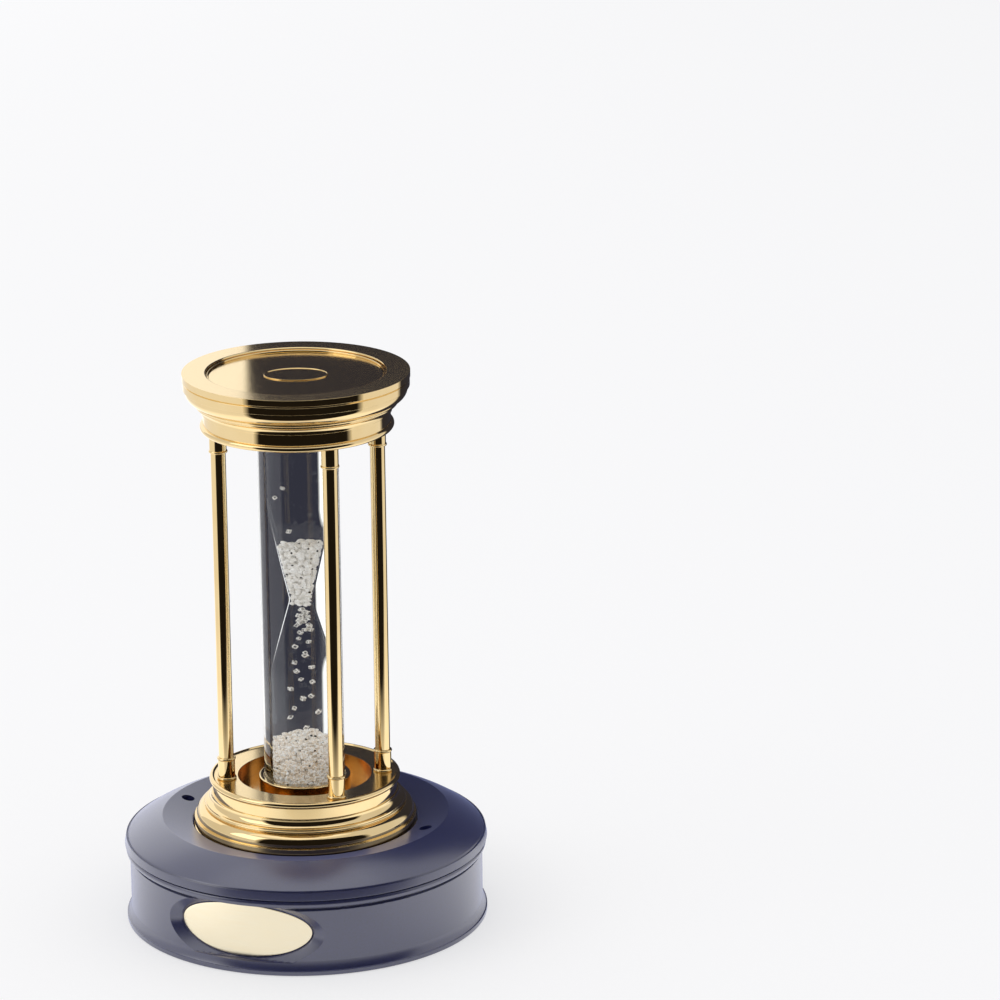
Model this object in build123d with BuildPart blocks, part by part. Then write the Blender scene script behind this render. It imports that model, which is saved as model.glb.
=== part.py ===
"""Presentation hourglass: a plated brass frame round a thick glass vial of rough
crystals, standing loose in the seat of a round lacquered base with an oval plaque.

Millimetres, +Z up. The origin is the centre of the base's felt underside, and the
front, which shows the plaque, faces -Y.
"""

import os
from math import cos, radians, sin

from build123d import *

# Base drum: heights stack up from the floor, and set-backs run in from the lid's band
drum_underside_z = 0.3
drum_floor = 5.8
drum_wall = 6.0
wall_setback = 1.7
wall_height = 16.6
foot_setback = 0.2
foot_height = 1.5
foot_cove_height = 3.3
foot_cove_hollow = 0.6
neck_cove_height = 2.3
neck_cove_hollow = 0.4
cornice_setback = 0.4
cornice_height = 1.4
drum_edge = 0.35
parting_setback = 1.2
parting_rise = 0.5
boss_r = 4.5

# Base lid
lid_band_r = 61.2
lid_band_height = 2.6
lid_band_gap = 0.9
lid_edge = 0.4
slope_setback = 1.0
slope_width = 11.9
slope_rise = 6.25
slope_bulge = 0.45
ridge_round = 0.6
dish_fall = 2.25
seat_depth = 4.0
spigot_depth = 3.0
spigot_width = 3.0
spigot_clearance = 0.2

# Lid screws, deep in their counterbores
screw_outset = 0.3
screw_angle = -21.0
screw_head_r = 1.95
screw_head_height = 2.0
screw_shank_r = 1.2
screw_length = 14.0
counterbore_clearance = 0.25
counterbore_depth = 5.5
screw_slot = 0.6
screw_clearance = 0.1

# Felt
felt_setback = 5.2
base_felt_thickness = 1.2
seat_felt_thickness = 0.8
felt_clearance = 0.2

# Plaque in its bevelled pocket
plaque_azimuth = -110.0
plaque_lift = 0.35
plaque_half_width = 22.9
plaque_half_height = 9.1
plaque_sink = 2.7
plaque_thickness = 0.8
adhesive_thickness = 0.3
adhesive_margin = 1.0
plaque_clearance = 0.2
bevel_sink = 2.8
bevel_end_slope = 1.6
bevel_edge_slope = 1.0

# Hourglass as a whole
hourglass_height = 159.0
seat_gap = 0.1
lip_clearance = 0.5

# Cap mouldings: depths from the cap's outer face, and set-backs from one member to the next
lip_r = 37.6
lip_edge = 0.25
lip_groove_at = 2.4
lip_groove_half = 0.25
lip_groove_depth = 0.45
band_setback = 0.2
band_height = 2.6
ovolo_setback = 0.8
ovolo_height = 4.0
ovolo_width = 2.3
ovolo_bulge = 0.95
necking_setback = 0.8
necking_bead_bulge = 0.4
necking_bead_height = 0.9
necking_quirk = 0.15
necking_height = 0.5
cove_height = 2.25
cove_width = 2.0
cove_hollow = 0.55
fillet_ring_height = 0.5
fillet_ring_width = 0.5
waist_height = 3.7
rim_bead_r = 1.1
ring_face_drop = 0.5
ring_width = 8.5
well_depth = 5.5
socket_clearance = 0.25
socket_depth = 3.2

# Cover plate in the cap's outer face
face_width = 7.9
recess_step = 0.7
plate_ledge = 0.9
plate_drop = 1.4
plate_thickness = 1.0
plate_edge = 0.15
plate_clearance = 0.1

# Posts
post_inset = 3.9
post_angles = {"left": -170.0, "front": -64.4, "right": 4.5}
rod_r = 2.5
sleeve_wall = 0.35
sleeve_length = 7.7
ring_bead_bulge = 0.3
ring_bead_height = 0.9
foot_bead_bulge = 0.45
foot_bead_height = 0.9
post_bore_spare = 1.5

# Post screws, through the caps into the post ends
cap_screw_head_r = 2.3
cap_screw_head_height = 2.4
cap_screw_shank_r = 1.4
cap_screw_reach = 7.5
cap_screw_slot = 0.8
cap_screw_clearance = 0.1

# Glass vial
vial_r = 13.5
vial_end_cover = 3.8
vial_edge = 0.5
cavity_r = 7.4
cavity_corner = 3.2
throat_r = 2.5
throat_above_middle = 2.0
throat_round = 7.0
lower_shoulder = 26.0
upper_shoulder = 31.0
shoulder_round = 16.0
fill_hole_r = 3.0
stopper_clearance = 0.05
cushion_thickness = 1.0
collar_wall = 1.8
collar_edge = 0.4
collar_clearance = 0.1

# Crystals
crystal_half = 0.9
heap_clearance = 0.05
upper_heap_height = 20.0
upper_heap_crown = 0.6
lower_heap_height = 17.0
lower_heap_crown = 3.0
stream_count = 24
stream_turn = 137.5
stream_gap = 2.5
stream_quickening = 1.3
stream_spread = 0.6

# Base levels and radii that follow from these
foot_top_z = drum_underside_z + foot_height
wall_bottom_z = foot_top_z + foot_cove_height
wall_top_z = wall_bottom_z + wall_height
cornice_bottom_z = wall_top_z + neck_cove_height
cornice_top_z = cornice_bottom_z + cornice_height
parting_z = cornice_top_z + parting_rise
lid_band_bottom_z = parting_z + lid_band_gap
lid_band_top_z = lid_band_bottom_z + lid_band_height
ridge_z = lid_band_top_z + slope_rise
dish_inner_z = ridge_z - dish_fall
seat_floor_z = dish_inner_z - seat_depth
drum_floor_z = base_felt_thickness + drum_floor
foot_r = lid_band_r - foot_setback
cornice_r = lid_band_r - cornice_setback
parting_r = lid_band_r - parting_setback
drum_wall_r = lid_band_r - wall_setback
drum_bore_r = drum_wall_r - drum_wall
base_felt_r = foot_r - felt_setback
slope_foot_r = lid_band_r - slope_setback
ridge_r = slope_foot_r - slope_width
seat_r = lip_r + lip_clearance
screw_circle_r = (seat_r + ridge_r) / 2 + screw_outset
counterbore_r = screw_head_r + counterbore_clearance
lid_screw_top_z = ridge_z - counterbore_depth
lid_screw_tip_z = lid_screw_top_z - screw_head_height - screw_length
plaque_z = wall_bottom_z + wall_height / 2 + plaque_lift
plaque_face_r = drum_wall_r - plaque_sink
plaque_back_r = plaque_face_r - plaque_thickness
pocket_floor_r = plaque_back_r - adhesive_thickness
bevel_foot_r = drum_wall_r - bevel_sink

# Hourglass levels and radii that follow from these
seat_z = seat_floor_z + seat_felt_thickness + seat_gap
top_z = seat_z + hourglass_height
middle_z = seat_z + hourglass_height / 2
band_r = lip_r - band_setback
band_end = lip_groove_at + band_height
ovolo_r = band_r - ovolo_setback
ovolo_end = band_end + ovolo_height
ovolo_end_r = ovolo_r - ovolo_width
necking_r = ovolo_end_r - necking_setback
necking_bead_start = ovolo_end + necking_quirk
necking_bead_end = necking_bead_start + necking_bead_height
necking_end = necking_bead_end + necking_height
cove_end = necking_end + cove_height
cove_end_r = necking_r - cove_width
waist_r = cove_end_r - fillet_ring_width
rim_bead_start = cove_end + fillet_ring_height + waist_height
rim_end = rim_bead_start + 2 * rim_bead_r
ring_face = rim_end - ring_face_drop
well_floor = ring_face - well_depth
well_r = waist_r - ring_width
socket_r = vial_r + socket_clearance
socket_floor = well_floor - socket_depth
recess_r = lip_r - face_width
plate_r = recess_r - plate_ledge
plate_seat = plate_drop + plate_thickness
post_circle_r = well_r + post_inset
sleeve_r = rod_r + sleeve_wall
post_bore_depth = cap_screw_reach + post_bore_spare
post_bore_r = cap_screw_shank_r + cap_screw_clearance
vial_bottom_z = seat_z + socket_floor + cushion_thickness
vial_top_z = top_z - socket_floor - cushion_thickness
cavity_bottom_z = vial_bottom_z + vial_end_cover
cavity_top_z = vial_top_z - vial_end_cover
throat_z = middle_z + throat_above_middle
collar_r = vial_r + collar_clearance + collar_wall
upper_crown_z = throat_z + upper_heap_height
lower_crown_z = cavity_bottom_z + lower_heap_height + lower_heap_crown
stream_top_z = throat_z - throat_r - stream_gap
stream_bottom_z = lower_crown_z + stream_gap

middle_plane = Plane.XY.offset(middle_z)
cap_plane = Plane(origin=(0, 0, seat_z), x_dir=(1, 0, 0), z_dir=(0, -1, 0))
plaque_out = (cos(radians(plaque_azimuth)), sin(radians(plaque_azimuth)), 0)
plaque_along = (-plaque_out[1], plaque_out[0], 0)
plaque_plane = Plane(origin=(0, 0, plaque_z), x_dir=plaque_along, z_dir=plaque_out)


def oval_prism(half_width, half_height):
    """Oval bar that runs from the base's axis out through the plaque."""
    with BuildPart() as prism:
        with BuildSketch(plaque_plane):
            Ellipse(half_width, half_height)
        extrude(amount=2 * foot_r)
    return prism.part


def oval_patch(radius, half_width, half_height):
    """Oval face of a cylinder about the base's axis."""
    cylinder = Solid.make_cylinder(radius, top_z, Plane.XY.offset(plaque_z - top_z / 2))
    wall = cylinder.faces().filter_by(GeomType.CYLINDER)[0]
    return wall.intersect(oval_prism(half_width, half_height))[0]


def curved_plate(inner_r, outer_r, margin):
    """Oval plate bent to the drum, its outline inset by the margin."""
    outline = oval_prism(plaque_half_width - margin, plaque_half_height - margin)
    with BuildPart() as plate:
        with BuildSketch():
            Circle(outer_r)
            Circle(inner_r, mode=Mode.SUBTRACT)
        extrude(amount=parting_z)
        add(outline, mode=Mode.INTERSECT)
    return plate


def bevel_cutter():
    """Wedge that widens outwards from the pocket's oval floor, as ruled faces between two ovals."""
    bevel_out = lid_band_r - bevel_foot_r
    inner = oval_patch(
        bevel_foot_r,
        plaque_half_width + plaque_clearance,
        plaque_half_height + plaque_clearance,
    )
    outer = oval_patch(
        bevel_foot_r + bevel_out,
        plaque_half_width + plaque_clearance + bevel_end_slope * bevel_out,
        plaque_half_height + plaque_clearance + bevel_edge_slope * bevel_out,
    )
    sides = Face.make_surface_from_curves(inner.outer_wire(), outer.outer_wire())
    return Solid(Shell([inner, outer, *sides.faces()]))


def cavity_outline(inset):
    """Half section of the vial's inside: two bulbs joined by the throat."""
    bulb_r = cavity_r - inset
    neck_r = throat_r - inset
    low_z = cavity_bottom_z + inset
    high_z = cavity_top_z - inset
    with BuildSketch(Plane.XZ) as outline:
        with BuildLine():
            Polyline(
                (0, low_z),
                (bulb_r, low_z),
                (bulb_r, throat_z - lower_shoulder),
                (neck_r, throat_z),
                (bulb_r, throat_z + upper_shoulder),
                (bulb_r, high_z),
                (0, high_z),
                close=True,
            )
        make_face()
        corner_rounds = {
            (bulb_r, low_z): cavity_corner,
            (bulb_r, throat_z - lower_shoulder): shoulder_round,
            (neck_r, throat_z): throat_round,
            (bulb_r, throat_z + upper_shoulder): shoulder_round,
            (bulb_r, high_z): cavity_corner,
        }
        for corner, round_r in corner_rounds.items():
            fillet(outline.vertices().sort_by_distance(corner)[0], round_r)
    return outline.sketch


def heap(bottom_z, crown_z, edge_z):
    """Crystals lying in the vial between a level and a domed crown."""
    room = cavity_outline(heap_clearance)
    with BuildPart() as pile:
        revolve(room, axis=Axis.Z)
        with BuildSketch(Plane.XZ) as limit:
            with BuildLine():
                sides = Polyline((0, crown_z), (0, bottom_z), (vial_r, bottom_z), (vial_r, edge_z))
                Bezier(sides @ 1, (cavity_r / 2, crown_z), sides @ 0)
            make_face()
        revolve(limit.sketch, axis=Axis.Z, mode=Mode.INTERSECT)
    return pile


# Base

pocket = curved_plate(pocket_floor_r, lid_band_r, -plaque_clearance)
with BuildPart() as bevel:
    add(bevel_cutter())
    with BuildSketch(Plane.XY.offset(foot_top_z)):
        Circle(2 * lid_band_r)
    extrude(amount=cornice_bottom_z - foot_top_z, mode=Mode.INTERSECT)

with BuildPart() as base_drum:
    with BuildSketch(Plane.XZ):
        with BuildLine():
            underside = Polyline(
                (0, base_felt_thickness),
                (base_felt_r + felt_clearance, base_felt_thickness),
                (base_felt_r + felt_clearance, drum_underside_z),
                (foot_r - drum_edge, drum_underside_z),
                (foot_r, drum_underside_z + drum_edge),
                (foot_r, foot_top_z - drum_edge),
                (foot_r - drum_edge, foot_top_z),
            )
            foot_cove = SagittaArc(underside @ 1, (drum_wall_r, wall_bottom_z), foot_cove_hollow)
            wall = Line(foot_cove @ 1, (drum_wall_r, wall_top_z))
            neck_cove = SagittaArc(wall @ 1, (cornice_r - drum_edge, cornice_bottom_z), neck_cove_hollow)
            cornice = Polyline(
                neck_cove @ 1,
                (cornice_r, cornice_bottom_z + drum_edge),
                (cornice_r, cornice_top_z - drum_edge),
                (cornice_r - drum_edge, cornice_top_z),
                (parting_r, cornice_top_z),
                (parting_r, parting_z),
                (drum_bore_r, parting_z),
                (drum_bore_r, drum_floor_z),
                (0, drum_floor_z),
            )
            Line(cornice @ 1, underside @ 0)
        make_face()
    revolve(axis=Axis.Z)
    with BuildSketch(Plane.XY.offset(drum_floor_z)):
        with PolarLocations(screw_circle_r, 2, start_angle=screw_angle):
            Circle(boss_r)
    extrude(amount=parting_z - drum_floor_z)
    with BuildSketch(Plane.XY.offset(lid_screw_tip_z - screw_clearance)):
        with PolarLocations(screw_circle_r, 2, start_angle=screw_angle):
            Circle(screw_shank_r + screw_clearance)
    extrude(until=Until.LAST, mode=Mode.SUBTRACT)
    add(pocket.part, mode=Mode.SUBTRACT)
    add(bevel.part, mode=Mode.SUBTRACT)

with BuildPart() as base_lid:
    with BuildSketch(Plane.XZ) as lid_section:
        with BuildLine():
            spigot_r = drum_bore_r - spigot_clearance
            seat = Polyline(
                (0, seat_floor_z),
                (seat_r, seat_floor_z),
                (seat_r, dish_inner_z),
                (ridge_r, ridge_z),
            )
            slope = SagittaArc(seat @ 1, (slope_foot_r, lid_band_top_z), slope_bulge)
            rim = Polyline(
                slope @ 1,
                (lid_band_r - lid_edge, lid_band_top_z),
                (lid_band_r, lid_band_top_z - lid_edge),
                (lid_band_r, lid_band_bottom_z + lid_edge),
                (lid_band_r - lid_edge, lid_band_bottom_z),
                (parting_r, lid_band_bottom_z),
                (parting_r, parting_z),
                (spigot_r, parting_z),
                (spigot_r, parting_z - spigot_depth),
                (spigot_r - spigot_width, parting_z - spigot_depth),
                (spigot_r - spigot_width, parting_z),
                (0, parting_z),
            )
            Line(rim @ 1, seat @ 0)
        make_face()
        fillet(lid_section.vertices().sort_by_distance((ridge_r, ridge_z))[0], ridge_round)
    revolve(axis=Axis.Z)
    with Locations(Plane.XY.offset(ridge_z)):
        with PolarLocations(screw_circle_r, 2, start_angle=screw_angle):
            CounterBoreHole(
                screw_shank_r + screw_clearance,
                counterbore_r,
                counterbore_depth + screw_head_height,
            )

with BuildPart() as lid_screws:
    with BuildSketch(Plane.XY.offset(lid_screw_top_z)):
        with PolarLocations(screw_circle_r, 2, start_angle=screw_angle):
            Circle(screw_head_r)
    extrude(amount=-screw_head_height)
    with BuildSketch(Plane.XY.offset(lid_screw_top_z)):
        with PolarLocations(screw_circle_r, 2, start_angle=screw_angle):
            Circle(screw_shank_r)
    extrude(amount=-screw_head_height - screw_length)
    with BuildSketch(Plane.XY.offset(lid_screw_top_z)):
        with PolarLocations(screw_circle_r, 2, start_angle=screw_angle):
            Rectangle(2 * counterbore_r, screw_slot)
    extrude(amount=-screw_head_height / 2, mode=Mode.SUBTRACT)

with BuildPart() as base_felt:
    with BuildSketch():
        Circle(base_felt_r)
    extrude(amount=base_felt_thickness)

with BuildPart() as seat_felt:
    with BuildSketch(Plane.XY.offset(seat_floor_z)):
        Circle(seat_r - felt_clearance)
    extrude(amount=seat_felt_thickness)

plaque = curved_plate(plaque_back_r, plaque_face_r, 0)
plaque_adhesive = curved_plate(pocket_floor_r, plaque_back_r, adhesive_margin)

# Hourglass frame: the lower pieces are modelled, and the upper ones are their mirror images

with BuildPart() as bottom_cap:
    with BuildSketch(cap_plane):
        with BuildLine():
            face = Polyline(
                (0, plate_seat),
                (plate_r + plate_clearance, plate_seat),
                (plate_r + plate_clearance, recess_step),
                (recess_r, recess_step),
                (recess_r, 0),
                (lip_r - lip_edge, 0),
                (lip_r, lip_edge),
                (lip_r, lip_groove_at - lip_groove_half),
                (lip_r - lip_groove_depth, lip_groove_at),
                (band_r, lip_groove_at + lip_groove_half),
                (band_r, band_end - lip_edge),
                (band_r - lip_edge, band_end),
                (ovolo_r, band_end),
            )
            ovolo = SagittaArc(face @ 1, (ovolo_end_r, ovolo_end), -ovolo_bulge)
            quirk = Polyline(ovolo @ 1, (necking_r, ovolo_end), (necking_r, necking_bead_start))
            bead = SagittaArc(quirk @ 1, (necking_r, necking_bead_end), -necking_bead_bulge)
            necking = Line(bead @ 1, (necking_r, necking_end))
            cove = SagittaArc(necking @ 1, (cove_end_r, cove_end), cove_hollow)
            waist = Polyline(
                cove @ 1,
                (cove_end_r, cove_end + fillet_ring_height),
                (waist_r, cove_end + fillet_ring_height),
                (waist_r, rim_bead_start),
            )
            rim = ThreePointArc(
                waist @ 1,
                (waist_r + rim_bead_r, rim_bead_start + rim_bead_r),
                (waist_r, rim_end),
            )
            inside = Polyline(
                rim @ 1,
                (waist_r - ring_face_drop, ring_face),
                (well_r, ring_face),
                (well_r, well_floor),
                (socket_r, well_floor),
                (socket_r, socket_floor),
                (0, socket_floor),
            )
            Line(inside @ 1, face @ 0)
        make_face()
    revolve(axis=Axis.Z)
    for angle in post_angles.values():
        with Locations(Plane.XY.offset(seat_z + plate_seat).rotated((180, 0, 0))):
            with PolarLocations(post_circle_r, 1, start_angle=-angle):
                CounterBoreHole(
                    cap_screw_shank_r + cap_screw_clearance,
                    cap_screw_head_r + cap_screw_clearance,
                    cap_screw_head_height,
                )

with BuildPart() as bottom_cover_plate:
    with BuildSketch(Plane.XY.offset(seat_z + plate_drop)):
        Circle(plate_r)
    extrude(amount=plate_thickness)
    chamfer(bottom_cover_plate.faces().sort_by(Axis.Z)[0].edges(), plate_edge)

with BuildPart() as bottom_post_screws:
    head_z = seat_z + plate_seat
    for angle in post_angles.values():
        with BuildSketch(Plane.XY.offset(head_z)):
            with PolarLocations(post_circle_r, 1, start_angle=angle):
                Circle(cap_screw_head_r)
        extrude(amount=cap_screw_head_height)
        with BuildSketch(Plane.XY.offset(head_z)):
            with PolarLocations(post_circle_r, 1, start_angle=angle):
                Circle(cap_screw_shank_r)
        extrude(amount=ring_face - plate_seat + cap_screw_reach)
        with BuildSketch(Plane.XY.offset(head_z)):
            with PolarLocations(post_circle_r, 1, start_angle=angle):
                Rectangle(2 * cap_screw_head_r, cap_screw_slot)
        extrude(amount=cap_screw_head_height / 2, mode=Mode.SUBTRACT)

with BuildPart() as bottom_glass_collar:
    with BuildSketch(Plane.XY.offset(seat_z + well_floor)):
        Circle(collar_r)
        Circle(vial_r + collar_clearance, mode=Mode.SUBTRACT)
    extrude(amount=well_depth)
    fillet(bottom_glass_collar.faces().sort_by(Axis.Z)[-1].edges(), collar_edge)

with BuildPart() as bottom_glass_cushion:
    with BuildSketch(Plane.XY.offset(seat_z + socket_floor)):
        Circle(vial_r)
    extrude(amount=cushion_thickness)

lower_pieces = {
    "cap": bottom_cap,
    "cover_plate": bottom_cover_plate,
    "post_screws": bottom_post_screws,
    "glass_collar": bottom_glass_collar,
    "glass_cushion": bottom_glass_cushion,
}
frame_ends = {}
for name, lower in lower_pieces.items():
    frame_ends["bottom_" + name] = lower
    with BuildPart() as upper:
        mirror(lower.part, about=middle_plane)
    frame_ends["top_" + name] = upper

posts = {}
for name, angle in post_angles.items():
    foot_z = seat_z + ring_face
    post_axis = Axis((post_circle_r * cos(radians(angle)), post_circle_r * sin(radians(angle)), 0), (0, 0, 1))
    with BuildPart() as post:
        with BuildSketch(Plane(origin=post_axis.position, x_dir=(1, 0, 0), z_dir=(0, -1, 0))):
            with BuildLine():
                bore_z = foot_z + post_bore_depth
                foot = Polyline(
                    (0, middle_z),
                    (0, bore_z),
                    (post_bore_r, bore_z),
                    (post_bore_r, foot_z),
                    (sleeve_r, foot_z),
                )
                foot_bead = SagittaArc(foot @ 1, (sleeve_r, foot_z + foot_bead_height), -foot_bead_bulge)
                sleeve = Line(foot_bead @ 1, (sleeve_r, foot_z + sleeve_length - ring_bead_height))
                ring_bead = SagittaArc(sleeve @ 1, (sleeve_r, foot_z + sleeve_length), -ring_bead_bulge)
                Polyline(ring_bead @ 1, (rod_r, foot_z + sleeve_length), (rod_r, middle_z), (0, middle_z))
            make_face()
        revolve(axis=post_axis)
        mirror(about=middle_plane)
    posts["post_" + name] = post

# Vial and its contents

cavity = cavity_outline(0)

with BuildPart() as glass_vial:
    with BuildSketch(Plane.XY.offset(vial_bottom_z)):
        Circle(vial_r)
    extrude(amount=vial_top_z - vial_bottom_z)
    chamfer(glass_vial.edges(), vial_edge)
    revolve(cavity, axis=Axis.Z, mode=Mode.SUBTRACT)
    with BuildSketch(Plane.XY.offset(vial_top_z)):
        Circle(fill_hole_r)
    extrude(amount=-2 * vial_end_cover, mode=Mode.SUBTRACT)

with BuildPart() as fill_stopper:
    with BuildSketch(Plane.XY.offset(vial_top_z)):
        Circle(fill_hole_r - stopper_clearance)
    extrude(amount=-vial_end_cover)

upper_crystal_heap = heap(throat_z - throat_r, upper_crown_z, upper_crown_z - upper_heap_crown)
lower_crystal_heap = heap(cavity_bottom_z, lower_crown_z, lower_crown_z - lower_heap_crown)

with BuildPart() as crystal:
    for direction in (1, -1):
        with BuildSketch() as girdle:
            Rectangle(crystal_half * 2**0.5, crystal_half * 2**0.5)
        loft([girdle.sketch.faces()[0], Vertex(0, 0, direction * crystal_half)])

with BuildPart() as falling_crystals:
    for index in range(stream_count):
        fall = (index / (stream_count - 1)) ** stream_quickening
        turn = index * stream_turn
        spread = throat_r / 3 + fall * (cavity_r - throat_r) * stream_spread
        height = stream_top_z - fall * (stream_top_z - stream_bottom_z)
        place = (spread * cos(radians(turn)), spread * sin(radians(turn)), height)
        with Locations(Location(place, (turn, 2 * turn, 3 * turn))):
            add(crystal.part)

# One file for each piece

pieces = {
    "base_drum": base_drum,
    "base_lid": base_lid,
    "lid_screws": lid_screws,
    "base_felt": base_felt,
    "seat_felt": seat_felt,
    "plaque": plaque,
    "plaque_adhesive": plaque_adhesive,
    **frame_ends,
    **posts,
    "glass_vial": glass_vial,
    "fill_stopper": fill_stopper,
    "upper_crystal_heap": upper_crystal_heap,
    "lower_crystal_heap": lower_crystal_heap,
    "falling_crystals": falling_crystals,
}

os.makedirs("parts", exist_ok=True)
for name, piece in pieces.items():
    piece.part.label = name
    export_step(piece.part, f"parts/{name}.step")
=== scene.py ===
"""Looks of the hourglass on its round base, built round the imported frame.

Metres, +Z up, the plaque's side towards -Y. Sizes that belong to the object are
written in millimetres and scaled by MM where a piece is made. The studio is in metres.
"""

from math import atan, cos, hypot, pi, radians, sin, sqrt
from random import Random

import bpy
from mathutils import Euler, Matrix, Vector


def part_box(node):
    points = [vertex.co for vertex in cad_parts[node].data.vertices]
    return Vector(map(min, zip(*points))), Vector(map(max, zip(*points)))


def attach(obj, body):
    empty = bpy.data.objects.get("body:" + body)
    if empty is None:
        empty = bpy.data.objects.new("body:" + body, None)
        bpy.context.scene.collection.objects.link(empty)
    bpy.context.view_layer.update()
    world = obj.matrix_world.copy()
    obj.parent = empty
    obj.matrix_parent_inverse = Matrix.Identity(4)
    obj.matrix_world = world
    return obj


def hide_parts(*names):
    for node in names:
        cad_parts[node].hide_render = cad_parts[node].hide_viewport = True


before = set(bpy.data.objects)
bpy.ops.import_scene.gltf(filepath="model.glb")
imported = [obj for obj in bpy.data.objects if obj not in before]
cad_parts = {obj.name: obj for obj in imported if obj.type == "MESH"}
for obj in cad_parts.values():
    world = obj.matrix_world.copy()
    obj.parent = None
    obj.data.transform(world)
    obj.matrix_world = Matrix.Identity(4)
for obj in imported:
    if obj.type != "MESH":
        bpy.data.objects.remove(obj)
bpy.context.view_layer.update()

MM = 0.001
SEED = 1405

# Steps round each kind of turned or oval piece
CAP_STEPS = 256
BASE_STEPS = 512
VIAL_STEPS = 192
COLLAR_STEPS = 128
POST_STEPS = 96
HOLE_STEPS = 64
OVAL_STEPS = 160
MEDALLION_STEPS = 128

# Points nearer than this are welded, and faces this near a level or radius count as on it, in mm
WELD = 0.002
FACE_MARGIN = 0.1

# Edges sharper than the first angle are rounded, and those flatter than the others are shaded smooth
EDGE_ANGLE = radians(25)
METAL_SMOOTH, GLASS_SMOOTH, LACQUER_SMOOTH = radians(30), radians(40), radians(12)

# Levels and radii that the frame gives, in mm
SEAT_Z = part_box("bottom_cap")[0].z / MM
TOP_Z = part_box("top_cap")[1].z / MM
LIP_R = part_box("bottom_cap")[1].x / MM
BAND_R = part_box("base_lid")[1].x / MM
RIDGE_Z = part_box("base_lid")[1].z / MM
VIAL_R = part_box("glass_vial")[1].x / MM
VIAL_BOTTOM_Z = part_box("glass_vial")[0].z / MM
VIAL_TOP_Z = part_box("glass_vial")[1].z / MM
COLLAR_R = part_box("bottom_glass_collar")[1].x / MM
COLLAR_BOTTOM_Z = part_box("bottom_glass_collar")[0].z / MM
HEAP_LOW_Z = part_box("lower_crystal_heap")[0].z / MM
HEAP_LOW_CROWN_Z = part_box("lower_crystal_heap")[1].z / MM
HEAP_HIGH_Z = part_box("upper_crystal_heap")[0].z / MM
HEAP_HIGH_CROWN_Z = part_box("upper_crystal_heap")[1].z / MM
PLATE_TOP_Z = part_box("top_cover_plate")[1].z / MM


# Making pieces


def arc(start, end, sagitta, pieces=8):
    """Points of a round stretch; it bulges to the left of the way by its sagitta."""
    length = hypot(end[0] - start[0], end[1] - start[1])
    along = ((end[0] - start[0]) / length, (end[1] - start[1]) / length)
    left = (-along[1], along[0])
    half = 2 * atan(2 * sagitta / length)
    radius = length / (2 * sin(half))
    middle = ((start[0] + end[0]) / 2, (start[1] + end[1]) / 2)
    centre = [middle[i] - left[i] * (radius - sagitta) for i in (0, 1)]
    points = [tuple(start)]
    for step in range(1, pieces + 1):
        turn = half * (2 * step / pieces - 1)
        points.append(
            tuple(centre[i] + radius * (left[i] * cos(turn) + along[i] * sin(turn)) for i in (0, 1))
        )
    return points


def corner(before, point, after, radius, pieces=6):
    """Points of a rounded corner between two straight stretches."""
    to_before = Vector((before[0] - point[0], before[1] - point[1])).normalized()
    to_after = Vector((after[0] - point[0], after[1] - point[1])).normalized()
    half = to_before.angle(to_after) / 2
    reach = radius * cos(half) / sin(half)
    start = Vector(point) + to_before * reach
    end = Vector(point) + to_after * reach
    side = to_before.x * to_after.y - to_before.y * to_after.x
    sagitta = radius * (1 - sin(half))
    return arc(start, end, sagitta if side > 0 else -sagitta, pieces)


def start_piece(name):
    """Names the primitive that was just added."""
    piece = bpy.context.object
    piece.name = name
    piece.data.name = name
    return piece


def pick(piece):
    """Selects one piece alone."""
    bpy.ops.object.select_all(action="DESELECT")
    piece.select_set(True)
    bpy.context.view_layer.objects.active = piece


def apply_modifier(piece, kind, **settings):
    """Adds a modifier to the picked piece and applies it."""
    bpy.ops.object.modifier_add(type=kind)
    modifier = piece.modifiers[-1]
    for key, value in settings.items():
        setattr(modifier, key, value)
    bpy.ops.object.modifier_apply(modifier=modifier.name)


def soften_edges(piece, width, smooth_angle=METAL_SMOOTH):
    """Breaks the sharp edges by a small round, as polishing does, and keeps the flats flat."""
    pick(piece)
    if width:
        apply_modifier(
            piece, "BEVEL", width=width * MM, segments=3, limit_method="ANGLE", angle_limit=EDGE_ANGLE
        )
    bpy.ops.object.shade_smooth_by_angle(angle=smooth_angle)
    apply_modifier(piece, "WEIGHTED_NORMAL", keep_sharp=True)


def close_skin():
    """Welds the mesh that is being edited, turns its faces outwards and ends the editing."""
    bpy.ops.mesh.select_all(action="SELECT")
    bpy.ops.mesh.remove_doubles(threshold=WELD * MM)
    bpy.ops.mesh.normals_make_consistent(inside=False)
    bpy.ops.object.mode_set(mode="OBJECT")


def turned(name, outline, edge, steps, axis=(0, 0), smooth_angle=METAL_SMOOTH):
    """Turns a half section, given as (radius, height) points in mm, about an upright axis."""
    bpy.ops.object.select_all(action="DESELECT")
    bpy.ops.mesh.primitive_plane_add(size=MM)
    piece = start_piece(name)
    bpy.ops.object.mode_set(mode="EDIT")
    bpy.ops.mesh.merge(type="CENTER")
    here = (0, 0)
    places = [(radius + axis[0], height) for radius, height in outline]
    for place in places:
        move = ((place[0] - here[0]) * MM, 0, (place[1] - here[1]) * MM)
        if place is places[0]:
            bpy.ops.transform.translate(value=(move[0], axis[1] * MM, move[2]))
        else:
            bpy.ops.mesh.extrude_region_move(TRANSFORM_OT_translate={"value": move})
        here = place
    bpy.ops.mesh.select_all(action="SELECT")
    bpy.ops.mesh.spin(steps=steps, angle=2 * pi, center=(axis[0] * MM, axis[1] * MM, 0), axis=(0, 0, 1))
    close_skin()
    soften_edges(piece, edge, smooth_angle)
    return piece


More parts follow.
